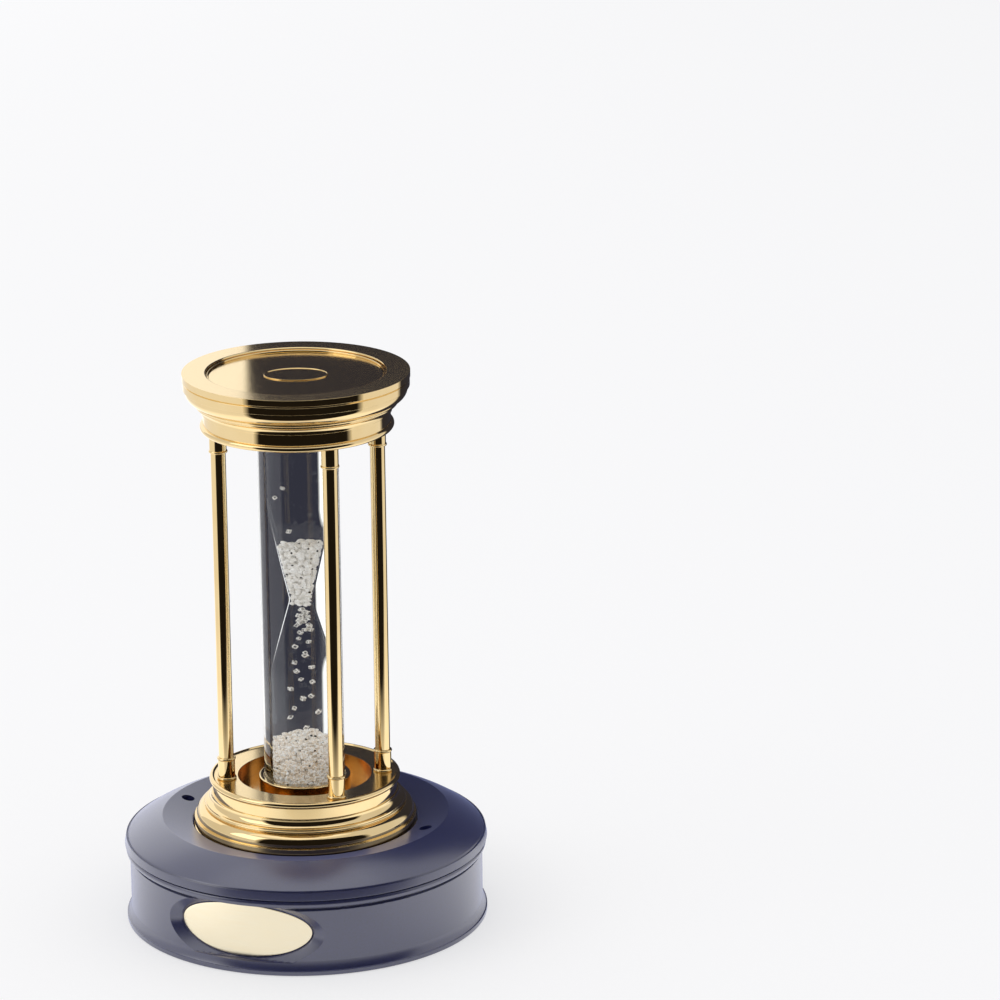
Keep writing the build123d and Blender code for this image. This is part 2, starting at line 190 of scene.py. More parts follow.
def dress(piece, material, body, slot, *nodes):
    """Gives a new piece its material and its body, and hides the CAD nodes that it stands for."""
    piece.data.materials.clear()
    piece.data.materials.append(material)
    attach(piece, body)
    if nodes:
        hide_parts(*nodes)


# Materials

GLASS_IOR, LIQUID_IOR, STONE_IOR = 1.5, 1.42, 2.4


def srgb(code):
    """Linear colour of an sRGB hex value."""
    parts = [int(code[i : i + 2], 16) / 255 for i in (1, 3, 5)]
    return (*[c / 12.92 if c <= 0.04045 else ((c + 0.055) / 1.055) ** 2.4 for c in parts], 1)


def per_mm(size):
    """Texture scale of a pattern whose features are this many mm wide."""
    return 1 / (size * MM)


def add_node(tree, kind, links=None, settings=None, feeds=None, **sockets):
    """Adds a node with its options, its inputs' values, what links into it and what its outputs feed."""
    node = tree.nodes.new("ShaderNode" + kind)
    for key, value in (settings or {}).items():
        setattr(node, key, value)
    for key, value in sockets.items():
        node.inputs[key.replace("_", " ")].default_value = value
    for key, output in (links or {}).items():
        tree.links.new(output, node.inputs[key])
    for key, socket in (feeds or {}).items():
        tree.links.new(node.outputs[key], socket)
    return node


def empty_material(name):
    """A material that has only Object coordinates so far: itself, its node tree and the coordinates."""
    material = bpy.data.materials.new(name)
    material.use_nodes = True
    tree = material.node_tree
    tree.nodes.clear()
    return material, tree, add_node(tree, "TexCoord").outputs["Object"]


def new_material(name, **sockets):
    """A material with a Principled shader: itself, its tree, its coordinates and the shader's inputs."""
    material, tree, place = empty_material(name)
    shader = add_node(tree, "BsdfPrincipled", **sockets)
    add_node(tree, "OutputMaterial", {"Surface": shader.outputs["BSDF"]})
    return material, tree, place, shader.inputs


COLOUR = {"data_type": "RGBA"}


def polished_gold_plate():
    """Gold-plated brass, buffed: a clear mirror, with faint hazy wiping marks in it."""
    material, tree, place, skin = new_material("polished_gold_plate", Metallic=1.0)
    haze = add_node(tree, "TexNoise", {"Vector": place}, Scale=per_mm(9), Detail=4.0).outputs["Fac"]
    add_node(
        tree, "Mix", {"Factor": haze}, COLOUR, {"Result": skin["Base Color"]},
        A=srgb("#E9CB92"), B=srgb("#F3DBA9"),
    )
    add_node(
        tree, "MapRange", {"Value": haze}, feeds={"Result": skin["Roughness"]},
        From_Min=0.3, From_Max=0.75, To_Min=0.03, To_Max=0.09,
    )
    return material


def brushed_gold_plate():
    """Gold-plated plate, brushed one way: a soft mirror broken up by fine straight lines."""
    material, tree, place, skin = new_material("brushed_gold_plate", Metallic=1.0, Base_Color=srgb("#EDD29A"))
    # Real brush lines are too fine for the picture, so these are drawn coarser
    widths = (per_mm(0.25), per_mm(9), per_mm(9))
    stretch = add_node(tree, "Mapping", {"Vector": place}, Scale=widths).outputs["Vector"]
    lines = add_node(tree, "TexNoise", {"Vector": stretch}, Scale=1.0, Detail=3.0).outputs["Fac"]
    add_node(
        tree, "MapRange", {"Value": lines}, feeds={"Result": skin["Roughness"]}, To_Min=0.08, To_Max=0.22
    )
    add_node(
        tree, "Bump", {"Height": lines}, feeds={"Normal": skin["Normal"]}, Strength=0.12, Distance=0.02 * MM
    )
    return material


def turned_gold_plate():
    """Gold-plated faces left as the lathe faced them: a soft sheen with faint rings in it."""
    material, tree, place, skin = new_material("turned_gold_plate", Metallic=1.0, Base_Color=srgb("#EED49E"))
    # Real turning marks are too fine for the picture, so these are drawn coarser
    rings = add_node(
        tree, "TexWave", {"Vector": place}, {"wave_type": "RINGS", "rings_direction": "Z"},
        Scale=per_mm(2.5), Distortion=0.5, Detail=2.0,
    ).outputs["Fac"]
    add_node(
        tree, "MapRange", {"Value": rings}, feeds={"Result": skin["Roughness"]}, To_Min=0.16, To_Max=0.26
    )
    return material


def well_gold_painted_shade():
    """Gold plate on the caps' well walls, a softer mirror painted deep orange: painted shade and painted
    gold-on-gold reflection in the recess.
    """
    material, tree, place, skin = new_material("well_gold_painted_shade", Metallic=1.0)
    cloud = add_node(tree, "TexNoise", {"Vector": place}, Scale=per_mm(6), Detail=3.0).outputs["Fac"]
    add_node(
        tree, "Mix", {"Factor": cloud}, COLOUR, {"Result": skin["Base Color"]},
        A=srgb("#B5773A"), B=srgb("#D8A560"),
    )
    add_node(
        tree, "MapRange", {"Value": cloud}, feeds={"Result": skin["Roughness"]}, To_Min=0.12, To_Max=0.24
    )
    return material


def satin_gold_plate():
    """Gold-anodised plate with a satin face: pale and even, with a faint straight grain."""
    material, tree, place, skin = new_material("satin_gold_plate", Metallic=1.0)
    widths = (per_mm(7), per_mm(7), per_mm(0.3))
    stretch = add_node(tree, "Mapping", {"Vector": place}, Scale=widths).outputs["Vector"]
    grain = add_node(tree, "TexNoise", {"Vector": stretch}, Scale=1.0, Detail=3.0).outputs["Fac"]
    add_node(
        tree, "Mix", {"Factor": grain}, COLOUR, {"Result": skin["Base Color"]},
        A=srgb("#FCEDC9"), B=srgb("#FFF6DE"),
    )
    add_node(tree, "MapRange", {"Value": grain}, feeds={"Result": skin["Roughness"]}, To_Min=0.2, To_Max=0.3)
    return material


def navy_lacquer():
    """Turned wood, sprayed with satin navy lacquer: dark blue under a broad pale sheen and a fine grit."""
    material, tree, place, skin = new_material(
        "navy_satin_lacquer", IOR=1.5, Coat_Weight=1.0, Coat_IOR=1.95, Coat_Roughness=0.25,
        Sheen_Weight=0.6, Sheen_Roughness=0.3, Sheen_Tint=srgb("#AEB9F5"),
    )
    # Real spray grit is too fine for the picture, so this is drawn coarser
    grit = add_node(tree, "TexNoise", {"Vector": place}, Scale=per_mm(0.5), Detail=2.0).outputs["Fac"]
    add_node(
        tree, "Mix", {"Factor": grit}, COLOUR, {"Result": skin["Base Color"]},
        A=srgb("#11163F"), B=srgb("#1D2359"),
    )
    add_node(tree, "MapRange", {"Value": grit}, feeds={"Result": skin["Roughness"]}, To_Min=0.3, To_Max=0.46)
    add_node(
        tree, "Bump", {"Height": grit}, feeds={"Normal": skin["Normal"]}, Strength=0.15, Distance=0.03 * MM
    )
    return material


def clear_glass(name, index):
    """Drawn glass tube, flame worked inside: clear, with a barely wavy skin."""
    material, tree, place, skin = new_material(
        name, Roughness=0.0, IOR=index, Transmission_Weight=1.0, Base_Color=srgb("#FCFEFE")
    )
    wave = add_node(tree, "TexNoise", {"Vector": place}, Scale=per_mm(14), Detail=1.0).outputs["Fac"]
    add_node(
        tree, "Bump", {"Height": wave}, feeds={"Normal": skin["Normal"]}, Strength=0.1, Distance=0.05 * MM
    )
    return material


def rough_crystal(name, gold_lit_tone, clearness):
    """Rough crystals in the liquid: white with painted sparkles on some grains and dark specks, and painted
    warm light from the gold below at the foot of the lower heap.
    """
    material, tree, place, skin = new_material(
        name, IOR=STONE_IOR / LIQUID_IOR, Transmission_Weight=clearness
    )
    # Painted warm light from the gold below: the given tone at the lower heap's foot fades upwards to white
    height = add_node(tree, "SeparateXYZ", {"Vector": place}).outputs["Z"]
    low, high = HEAP_LOW_Z * MM, HEAP_LOW_CROWN_Z * MM
    gold_light_fade = add_node(tree, "MapRange", {"Value": height}, From_Min=low, From_Max=2 * high - low)
    tone = add_node(
        tree, "Mix", {"Factor": gold_light_fade.outputs["Result"]}, COLOUR, A=srgb(gold_lit_tone), B=srgb("#F6F2EB")
    )
    # Painted sparkles: some grains are drawn whiter, as if they caught the light
    sparkle_cells = add_node(tree, "TexVoronoi", {"Vector": place}, Scale=per_mm(0.6))
    sparkle = add_node(tree, "MapRange", {"Value": sparkle_cells.outputs["Color"]}, From_Min=0.58, From_Max=0.66)
    body = add_node(
        tree, "Mix", {"Factor": sparkle.outputs["Result"], "A": tone.outputs["Result"]}, COLOUR,
        B=srgb("#FFFDF8"),
    )
    specks = add_node(tree, "TexVoronoi", {"Vector": place}, Scale=per_mm(2.2))
    clear = add_node(tree, "MapRange", {"Value": specks.outputs["Distance"]}, From_Min=0.14, From_Max=0.2)
    add_node(
        tree, "Mix", {"Factor": clear.outputs["Result"], "B": body.outputs["Result"]}, COLOUR,
        {"Result": skin["Base Color"]}, A=srgb("#2B2826"),
    )
    frost = add_node(tree, "TexNoise", {"Vector": place}, Scale=per_mm(0.6), Detail=3.0).outputs["Fac"]
    add_node(tree, "MapRange", {"Value": frost}, feeds={"Result": skin["Roughness"]}, To_Min=0.02, To_Max=0.2)
    return material


def clear_crystal():
    """Flat facets of the loose crystals: nearly clear, so the dark behind shows in their middle."""
    material, tree, place, skin = new_material(
        "clear_crystal_facet", IOR=STONE_IOR / LIQUID_IOR, Transmission_Weight=0.9, Base_Color=srgb("#F6F4F0")
    )
    haze = add_node(tree, "TexNoise", {"Vector": place}, Scale=per_mm(0.5), Detail=2.0).outputs["Fac"]
    add_node(tree, "MapRange", {"Value": haze}, feeds={"Result": skin["Roughness"]}, To_Min=0.0, To_Max=0.1)
    return material


def wool_felt(name, dark, light):
    """Pressed wool felt: a matt mat of crossing fibres."""
    material, tree, place, skin = new_material(name, Roughness=0.95, Sheen_Weight=0.3)
    # Single fibres are too fine for the picture, so the mat is drawn as tufts
    fibres = add_node(
        tree, "TexNoise", {"Vector": place}, Scale=per_mm(0.8), Detail=6.0, Roughness=0.7
    ).outputs["Fac"]
    add_node(
        tree, "Mix", {"Factor": fibres}, COLOUR, {"Result": skin["Base Color"]}, A=srgb(dark), B=srgb(light)
    )
    add_node(
        tree, "Bump", {"Height": fibres}, feeds={"Normal": skin["Normal"]}, Strength=0.6, Distance=0.2 * MM
    )
    return material


def blackened_steel():
    """Steel screws, blackened in oil: dark and dull, with a worn streak here and there."""
    material, tree, place, skin = new_material("blackened_steel", Metallic=1.0)
    wear = add_node(tree, "TexNoise", {"Vector": place}, Scale=per_mm(1.5), Detail=4.0).outputs["Fac"]
    add_node(
        tree, "Mix", {"Factor": wear}, COLOUR, {"Result": skin["Base Color"]},
        A=srgb("#2B2B2E"), B=srgb("#6A6A6E"),
    )
    add_node(tree, "MapRange", {"Value": wear}, feeds={"Result": skin["Roughness"]}, To_Min=0.5, To_Max=0.3)
    return material


def soft_filler(name, dark, light, roughness):
    """Moulded silicone or foam tape: a milky, matt, slightly cloudy body."""
    material, tree, place, skin = new_material(name, Roughness=roughness)
    cloud = add_node(tree, "TexNoise", {"Vector": place}, Scale=per_mm(2.5), Detail=3.0).outputs["Fac"]
    add_node(
        tree, "Mix", {"Factor": cloud}, COLOUR, {"Result": skin["Base Color"]}, A=srgb(dark), B=srgb(light)
    )
    return material


gold = polished_gold_plate()
brushed_gold = brushed_gold_plate()
turned_gold = turned_gold_plate()
well_shade_gold = well_gold_painted_shade()
satin_gold = satin_gold_plate()
lacquer = navy_lacquer()
glass = clear_glass("clear_drawn_glass", GLASS_IOR)
wet_glass = clear_glass("clear_glass_on_liquid", GLASS_IOR / LIQUID_IOR)
# Edges are frosted and also painted paler than the heap's facets, as a highlight on the rims; both warm tones
# are painted light from the gold below
crystal_edge = rough_crystal("frosted_crystal_rim_highlight", "#FFF6EA", 0.05)
heap_facet = rough_crystal("rough_crystal_facet", "#EFDABD", 0.1)
loose_facet = clear_crystal()
steel = blackened_steel()
silicone = soft_filler("milky_silicone", "#C9CBCB", "#E6E8E8", 0.5)

CAD_FINISHES = {
    "base_felt": wool_felt("navy_wool_felt", "#14162C", "#2A2E4E"),
    "seat_felt": wool_felt("black_wool_felt", "#0E0E14", "#24242E"),
    "plaque_adhesive": soft_filler("white_foam_tape", "#D8D8D4", "#EEEEEA", 0.8),
    "lid_screws": steel,
    "top_post_screws": steel,
    "bottom_post_screws": steel,
    "top_cover_plate": brushed_gold,
    "bottom_cover_plate": brushed_gold,
    "top_glass_cushion": silicone,
    "bottom_glass_cushion": silicone,
    "fill_stopper": silicone,
}
for node_name, finish in CAD_FINISHES.items():
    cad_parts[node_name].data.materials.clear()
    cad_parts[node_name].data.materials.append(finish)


# Caps: radii in from the lip's, depths from the cap's outer face
WELL_R = LIP_R - 15.1
CAP_EDGE = 0.22
FLAT_FACE = 0.98


def cap_outline():
    """Half section of a cap, from the cover plate's seat round the mouldings to the vial's socket."""
    plate_r, moat_r, recess_r = LIP_R - 8.7, LIP_R - 8.2, LIP_R - 7.9
    plate_seat, ridge_top, moat_floor, recess_round = 2.4, 0.95, 1.5, 0.5
    groove_r, groove_top, groove, groove_foot = LIP_R - 0.7, 2.1, 2.4, 2.7
    fascia_r, fascia_foot, ovolo_foot = LIP_R - 0.2, 5.0, 9.0
    bead_r, step_r, step_foot = LIP_R - 4.1, LIP_R - 6.1, 13.3
    rim_r, shelf_r, shelf = LIP_R - 6.6, LIP_R - 7.1, 18.7
    socket_r, well_floor, socket_floor = VIAL_R + 0.25, 13.2, 10.0
    # Mouldings: start, end and bulge
    ridge = ((plate_r, ridge_top), (moat_r, ridge_top), -0.25)
    ovolo = ((LIP_R - 1.0, fascia_foot), (LIP_R - 3.3, ovolo_foot), -0.95)
    bead = ((bead_r, 9.15), (bead_r, 10.05), -0.4)
    cove = ((bead_r, 10.55), (step_r, 12.8), 0.55)
    rim = ((rim_r, 17.0), (rim_r, 19.2), -1.1)
    return [
        (0, plate_seat),
        (plate_r, plate_seat),
        *arc(*ridge),
        (moat_r, moat_floor),
        (recess_r, moat_floor),
        *corner((recess_r, moat_floor), (recess_r, 0), (LIP_R, 0), recess_round, 8),
        (LIP_R, 0),
        (LIP_R, groove_top),
        (groove_r, groove),
        (fascia_r, groove_foot),
        (fascia_r, fascia_foot),
        *arc(*ovolo, pieces=12),
        (bead_r, ovolo_foot),
        *arc(*bead),
        *arc(*cove, pieces=10),
        (step_r, step_foot),
        (rim_r, step_foot),
        *arc(*rim, pieces=14),
        (shelf_r, shelf),
        (WELL_R, shelf),
        (WELL_R, well_floor),
        (socket_r, well_floor),
        (socket_r, socket_floor),
        (0, socket_floor),
    ]


bottom_outline = [(radius, SEAT_Z + depth) for radius, depth in cap_outline()]
top_outline = [(radius, TOP_Z - depth) for radius, depth in cap_outline()]
bottom_cap = turned("bottom_cap_turned", bottom_outline, CAP_EDGE, CAP_STEPS)
top_cap = turned("top_cap_turned", top_outline, CAP_EDGE, CAP_STEPS)
dress(bottom_cap, gold, "hourglass", "gold_polished", "bottom_cap")
dress(top_cap, gold, "hourglass", "gold_polished", "top_cap")
for cap in (bottom_cap, top_cap):
    # Flat faces take the turned gold, and the wells' walls take the gold painted with the recess's shade and
    # reflection
    cap.data.materials.append(turned_gold)
    cap.data.materials.append(well_shade_gold)
    for face in cap.data.polygons:
        if abs(face.normal.z) > FLAT_FACE:
            face.material_index = 1
        elif abs(hypot(face.center.x, face.center.y) / MM - WELL_R) < FACE_MARGIN:
            face.material_index = 2

# Plain oval medallion on the upper cover plate: a raised rim round a sunk, bare field
MEDALLION_HALF = (10.6, 7.8)
MEDALLION_HEIGHT, MEDALLION_SINK = 0.3, 0.18
MEDALLION_RIM, MEDALLION_RIM_SLOPE, MEDALLION_EDGE = 0.35, 0.1, 0.06

bpy.ops.object.select_all(action="DESELECT")
bpy.ops.mesh.primitive_circle_add(
    vertices=MEDALLION_STEPS, radius=MM, fill_type="NGON", location=(0, 0, PLATE_TOP_Z * MM)
)
medallion = start_piece("oval_medallion")
bpy.ops.object.mode_set(mode="EDIT")
bpy.ops.mesh.select_all(action="SELECT")
bpy.ops.transform.resize(value=(*MEDALLION_HALF, 1))
bpy.ops.mesh.extrude_region_move(TRANSFORM_OT_translate={"value": (0, 0, MEDALLION_HEIGHT * MM)})
bpy.ops.mesh.inset(thickness=MEDALLION_RIM * MM, depth=0)
bpy.ops.mesh.inset(thickness=MEDALLION_RIM_SLOPE * MM, depth=-MEDALLION_SINK * MM)
bpy.ops.object.mode_set(mode="OBJECT")
bpy.ops.object.transform_apply(location=True, rotation=True, scale=True)
soften_edges(medallion, MEDALLION_EDGE)
dress(medallion, brushed_gold, "hourglass", "gold_brushed")

# Posts, each a rod with a sleeve, a foot bead and a ring bead at either end
ROD_R, SLEEVE_R, SLEEVE_LENGTH = 2.5, 2.85, 7.7
BEAD_HEIGHT, FOOT_BULGE, RING_BULGE = 0.9, 0.45, 0.3
POST_EDGE = 0.05


def post_end():
    """Half section of a post's end, with heights from its foot."""
    return [
        (0, 0),
        *arc((SLEEVE_R, 0), (SLEEVE_R, BEAD_HEIGHT), -FOOT_BULGE),
        *arc((SLEEVE_R, SLEEVE_LENGTH - BEAD_HEIGHT), (SLEEVE_R, SLEEVE_LENGTH), -RING_BULGE),
        (ROD_R, SLEEVE_LENGTH),
    ]


for post_name in ("post_left", "post_front", "post_right"):
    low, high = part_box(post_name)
    axis = ((low.x + high.x) / 2 / MM, (low.y + high.y) / 2 / MM)
    outline = [(radius, low.z / MM + height) for radius, height in post_end()]
    outline += [(radius, high.z / MM - height) for radius, height in reversed(post_end())]
    post = turned(post_name + "_turned", outline, POST_EDGE, POST_STEPS, axis)
    dress(post, gold, "hourglass", "gold_polished", post_name)

# Collars round the vial's ends
COLLAR_BORE_R, COLLAR_HEIGHT, COLLAR_ROUND = VIAL_R + 0.1, 5.5, 0.4

for end, flip in (("bottom", 1), ("top", -1)):
    brim, bore = (COLLAR_R, COLLAR_HEIGHT), (COLLAR_BORE_R, COLLAR_HEIGHT)
    outline = [
        (COLLAR_BORE_R, 0),
        (COLLAR_R, 0),
        *corner((COLLAR_R, 0), brim, bore, COLLAR_ROUND),
        *corner(brim, bore, (COLLAR_BORE_R, 0), COLLAR_ROUND),
        (COLLAR_BORE_R, 0),
    ]
    foot_z = COLLAR_BOTTOM_Z if flip > 0 else SEAT_Z + TOP_Z - COLLAR_BOTTOM_Z
    outline = [(radius, foot_z + flip * height) for radius, height in outline]
    collar = turned(end + "_collar_turned", outline, 0, COLLAR_STEPS)
    dress(collar, gold, "hourglass", "gold_polished", end + "_glass_collar")

# Glass vial: a thick tube with an hourglass-shaped inside
CAVITY_R, THROAT_R, FILL_HOLE_R = 7.4, 2.5, 3.0
END_COVER, END_CHAMFER = 3.8, 0.5
THROAT_Z = (SEAT_Z + TOP_Z) / 2 + 2.0
SHOULDER_LOW_Z, SHOULDER_HIGH_Z = THROAT_Z - 26.0, THROAT_Z + 31.0
CAVITY_LOW_Z, CAVITY_HIGH_Z = VIAL_BOTTOM_Z + END_COVER, VIAL_TOP_Z - END_COVER
CAVITY_CORNER, SHOULDER_ROUND, THROAT_ROUND = 3.2, 16.0, 7.0


def vial_outline():
    """Half section of the vial, up the outside, down the fill hole and down the inside."""
    inside = [
        (FILL_HOLE_R, CAVITY_HIGH_Z),
        (CAVITY_R, CAVITY_HIGH_Z),
        (CAVITY_R, SHOULDER_HIGH_Z),
        (THROAT_R, THROAT_Z),
        (CAVITY_R, SHOULDER_LOW_Z),
        (CAVITY_R, CAVITY_LOW_Z),
        (0, CAVITY_LOW_Z),
    ]
    rounds = (CAVITY_CORNER, SHOULDER_ROUND, THROAT_ROUND, SHOULDER_ROUND, CAVITY_CORNER)
    points = [
        (0, VIAL_BOTTOM_Z),
        (VIAL_R - END_CHAMFER, VIAL_BOTTOM_Z),
        (VIAL_R, VIAL_BOTTOM_Z + END_CHAMFER),
        (VIAL_R, VIAL_TOP_Z - END_CHAMFER),
        (VIAL_R - END_CHAMFER, VIAL_TOP_Z),
        (FILL_HOLE_R, VIAL_TOP_Z),
        inside[0],
    ]
    for index, radius in enumerate(rounds):
        points += corner(*inside[index : index + 3], radius, 16)
    return points + [inside[-1]]


vial = turned("glass_vial_drawn", vial_outline(), 0, VIAL_STEPS, smooth_angle=GLASS_SMOOTH)
dress(vial, glass, "hourglass", "glass", "glass_vial")
vial.data.materials.append(wet_glass)
inner_r, inner_low_z = (CAVITY_R + FACE_MARGIN) * MM, (CAVITY_LOW_Z - FACE_MARGIN) * MM
for face in vial.data.polygons:
    if hypot(face.center.x, face.center.y) < inner_r and inner_low_z < face.center.z < CAVITY_HIGH_Z * MM:
        face.material_index = 1
# Clear glass lets the studio's light through to the crystals
vial.visible_shadow = vial.visible_diffuse = False

# Crystals: one leaning block with bevelled edges, copied at every place and turn
CRYSTAL_HALF, CRYSTAL_BEVEL, CRYSTAL_LEAN = 0.66, 0.24, 0.25
CRYSTAL_STRETCH = (0.75, 1.05)
CRYSTAL_PITCH, LAYER_PITCH, WALL_CLEARANCE = 1.15, 0.95, 0.05
SHAKE, CROWN_SHAKE = 0.3, 0.8
TURN_TRIES = 10
LOW_CROWN_RISE, LOW_EDGE_DROP, HIGH_EDGE_DROP = 0.9, 4.4, 0.6
FACET_FACE = 0.9
LEAN = Matrix(((1, CRYSTAL_LEAN, 0), (0, 1, 0), (0, 0, 1)))
draw = Random(SEED)

bpy.ops.object.select_all(action="DESELECT")
bpy.ops.mesh.primitive_cube_add(size=2 * CRYSTAL_HALF * MM)
block = start_piece("rough_stone")
bpy.ops.object.mode_set(mode="EDIT")
bpy.ops.mesh.select_all(action="SELECT")
bpy.ops.mesh.bevel(offset=CRYSTAL_BEVEL * MM, segments=1, affect="EDGES")
bpy.ops.object.mode_set(mode="OBJECT")
STONE_POINTS = [vertex.co.copy() for vertex in block.data.vertices]
STONE_FACES = [tuple(face.vertices) for face in block.data.polygons]
STONE_FACETS = [max(abs(part) for part in face.normal) > FACET_FACE for face in block.data.polygons]
bpy.data.objects.remove(block)


def inside_radius(z):
    """Radius of the vial's inside at a height, in mm."""
    if z < CAVITY_LOW_Z + CAVITY_CORNER:
        drop = min(CAVITY_LOW_Z + CAVITY_CORNER - z, CAVITY_CORNER)
        return CAVITY_R - CAVITY_CORNER + sqrt(CAVITY_CORNER**2 - drop**2)
    if z < SHOULDER_LOW_Z:
        return CAVITY_R
    shoulder = SHOULDER_LOW_Z if z < THROAT_Z else SHOULDER_HIGH_Z
    share = min((z - THROAT_Z) / (shoulder - THROAT_Z), 1)
    return THROAT_R + (CAVITY_R - THROAT_R) * share


def stone_at(place):
    """Corners of one crystal of its own size and turn, in metres."""
    turn = Euler([draw.uniform(0, 2 * pi) for _ in range(3)]).to_matrix()
    stretch = Matrix.Diagonal([draw.uniform(*CRYSTAL_STRETCH) for _ in range(3)])
    return [turn @ LEAN @ stretch @ point + Vector(place) * MM for point in STONE_POINTS]


def fits(points, low_z):
    """Whether a crystal lies inside the vial and above a level."""
    for point in points:
        z = point.z / MM
        if z < low_z or hypot(point.x, point.y) / MM > inside_radius(z) - WALL_CLEARANCE:
            return False
    return True


def settled(place, low_z):
    """One crystal turned until it lies inside the vial, if a few tries find such a turn."""
    for _ in range(TURN_TRIES):
        points = stone_at(place)
        if fits(points, low_z):
            return points
    return None


def heap_stones(low_z, crown_z, edge_drop):
    """Crystals on shaken rings, the outermost against the glass, up to an uneven, domed crown."""
    stones = []
    for layer in range(int((crown_z - low_z) / LAYER_PITCH) + 1):
        level = low_z + 0.5 * CRYSTAL_HALF + layer * LAYER_PITCH
        outer = inside_radius(level) - WALL_CLEARANCE - CRYSTAL_HALF
        for ring in range(int(max(outer, 0) / CRYSTAL_PITCH) + 1):
            radius = max(outer - ring * CRYSTAL_PITCH, 0)
            crown = crown_z - edge_drop * (radius / CAVITY_R) ** 2 - CRYSTAL_HALF
            count = int(2 * pi * radius / CRYSTAL_PITCH) + 1
            for step in range(count):
                turn = 2 * pi * (step + draw.uniform(-SHAKE, SHAKE)) / count + layer
                height = level + draw.uniform(-SHAKE, SHAKE)
                points = settled((radius * cos(turn), radius * sin(turn), height), low_z)
                if points and height < crown + draw.uniform(-CROWN_SHAKE, CROWN_SHAKE):
                    stones.append(points)
    return stones


def strewn(name, stones, facet, *nodes):
    """One mesh of many crystals with frosted edges, paler than the heap's facets as a painted highlight on
    the rims, and clearer facets, which casts no shadow in the vial.
    """
    mesh = bpy.data.meshes.new(name)
    corners = [point for stone in stones for point in stone]
    faces = [
        tuple(index * len(STONE_POINTS) + corner_index for corner_index in face)
        for index in range(len(stones))
        for face in STONE_FACES
    ]
    mesh.from_pydata(corners, [], faces)
    piece = bpy.data.objects.new(name, mesh)
    bpy.context.scene.collection.objects.link(piece)
    dress(piece, crystal_edge, "hourglass", "crystal", *nodes)
    mesh.materials.append(facet)
    for face in mesh.polygons:
        face.material_index = int(STONE_FACETS[face.index % len(STONE_FACETS)])
    piece.visible_shadow = False


low_heap = heap_stones(HEAP_LOW_Z, HEAP_LOW_CROWN_Z + LOW_CROWN_RISE, LOW_EDGE_DROP)
strewn("lower_heap_crystals", low_heap, heap_facet, "lower_crystal_heap")
high_heap = heap_stones(HEAP_HIGH_Z, HEAP_HIGH_CROWN_Z, HIGH_EDGE_DROP)
strewn("upper_heap_crystals", high_heap, heap_facet, "upper_crystal_heap")

# Loose crystals: a few above the upper heap, the thick of the stream under the throat and its spread below
STRAYS = ((-3.6, 1.0, 150.0), (-5.6, -0.5, 146.9), (-2.4, 0.5, 135.2))
THICK_COUNT, THICK_REACH, THICK_SHIFT = 16, 1.54, 0.6
THICK_TOP_Z, THICK_LENGTH = THROAT_Z - 3.0, 8.0
STREAM_COUNT, STREAM_TURN, STREAM_QUICKENING, STREAM_SPREAD = 24, radians(137.5), 1.3, 0.6
STREAM_TOP_Z, STREAM_BOTTOM_Z = THROAT_Z - 5.0, HEAP_LOW_CROWN_Z + 2.5

loose_places = list(STRAYS)
for step in range(THICK_COUNT):
    depth = THICK_LENGTH * (step + 0.5) / THICK_COUNT
    reach = THICK_REACH * (1 + depth / THICK_LENGTH) / 2
    turn = draw.uniform(0, 2 * pi)
    loose_places.append((THICK_SHIFT + reach * cos(turn), reach * sin(turn), THICK_TOP_Z - depth))
for step in range(STREAM_COUNT):
    fall = (step / (STREAM_COUNT - 1)) ** STREAM_QUICKENING
    reach = THROAT_R / 3 + fall * (CAVITY_R - THROAT_R) * STREAM_SPREAD
    turn = step * STREAM_TURN
    height = STREAM_TOP_Z - fall * (STREAM_TOP_Z - STREAM_BOTTOM_Z)
    loose_places.append((reach * cos(turn), reach * sin(turn), height))
strewn("loose_crystals", [stone_at(place) for place in loose_places], loose_facet, "falling_crystals")

# Base: radii from the lid's band inwards, heights from the floor
WALL_R, FOOT_R, CORNICE_R, PARTING_R = BAND_R - 1.7, BAND_R - 0.2, BAND_R - 0.9, BAND_R - 2.0
DRUM_TOP_Z = 25.9
BASE_EDGE = 0.25


def drum_outline():
    """Half section of the drum, from its sunk underside up the wall to the rim that the lid sits on."""
    felt_r, groove_r, bore_r = FOOT_R - 5.0, WALL_R - 1.2, WALL_R - 6.0
    felt_z, foot_z, foot_top_z, cellar_z, groove_z, cornice_z = 1.2, 0.3, 1.8, 7.0, 22.5, 23.8
    # Mouldings: start, end and bulge
    foot_cove = ((FOOT_R - 0.35, foot_top_z), (WALL_R, 5.1), 0.15)
    cornice = ((CORNICE_R, cornice_z), (CORNICE_R, DRUM_TOP_Z), -0.5)
    return [
        (0, felt_z),
        (felt_r, felt_z),
        (felt_r, foot_z),
        (FOOT_R, foot_z),
        (FOOT_R, foot_top_z),
        *arc(*foot_cove, pieces=10),
        (WALL_R, groove_z),
        (groove_r, groove_z),
        (groove_r, cornice_z),
        *arc(*cornice, pieces=10),
        (bore_r, DRUM_TOP_Z),
        (bore_r, cellar_z),
        (0, cellar_z),
    ]


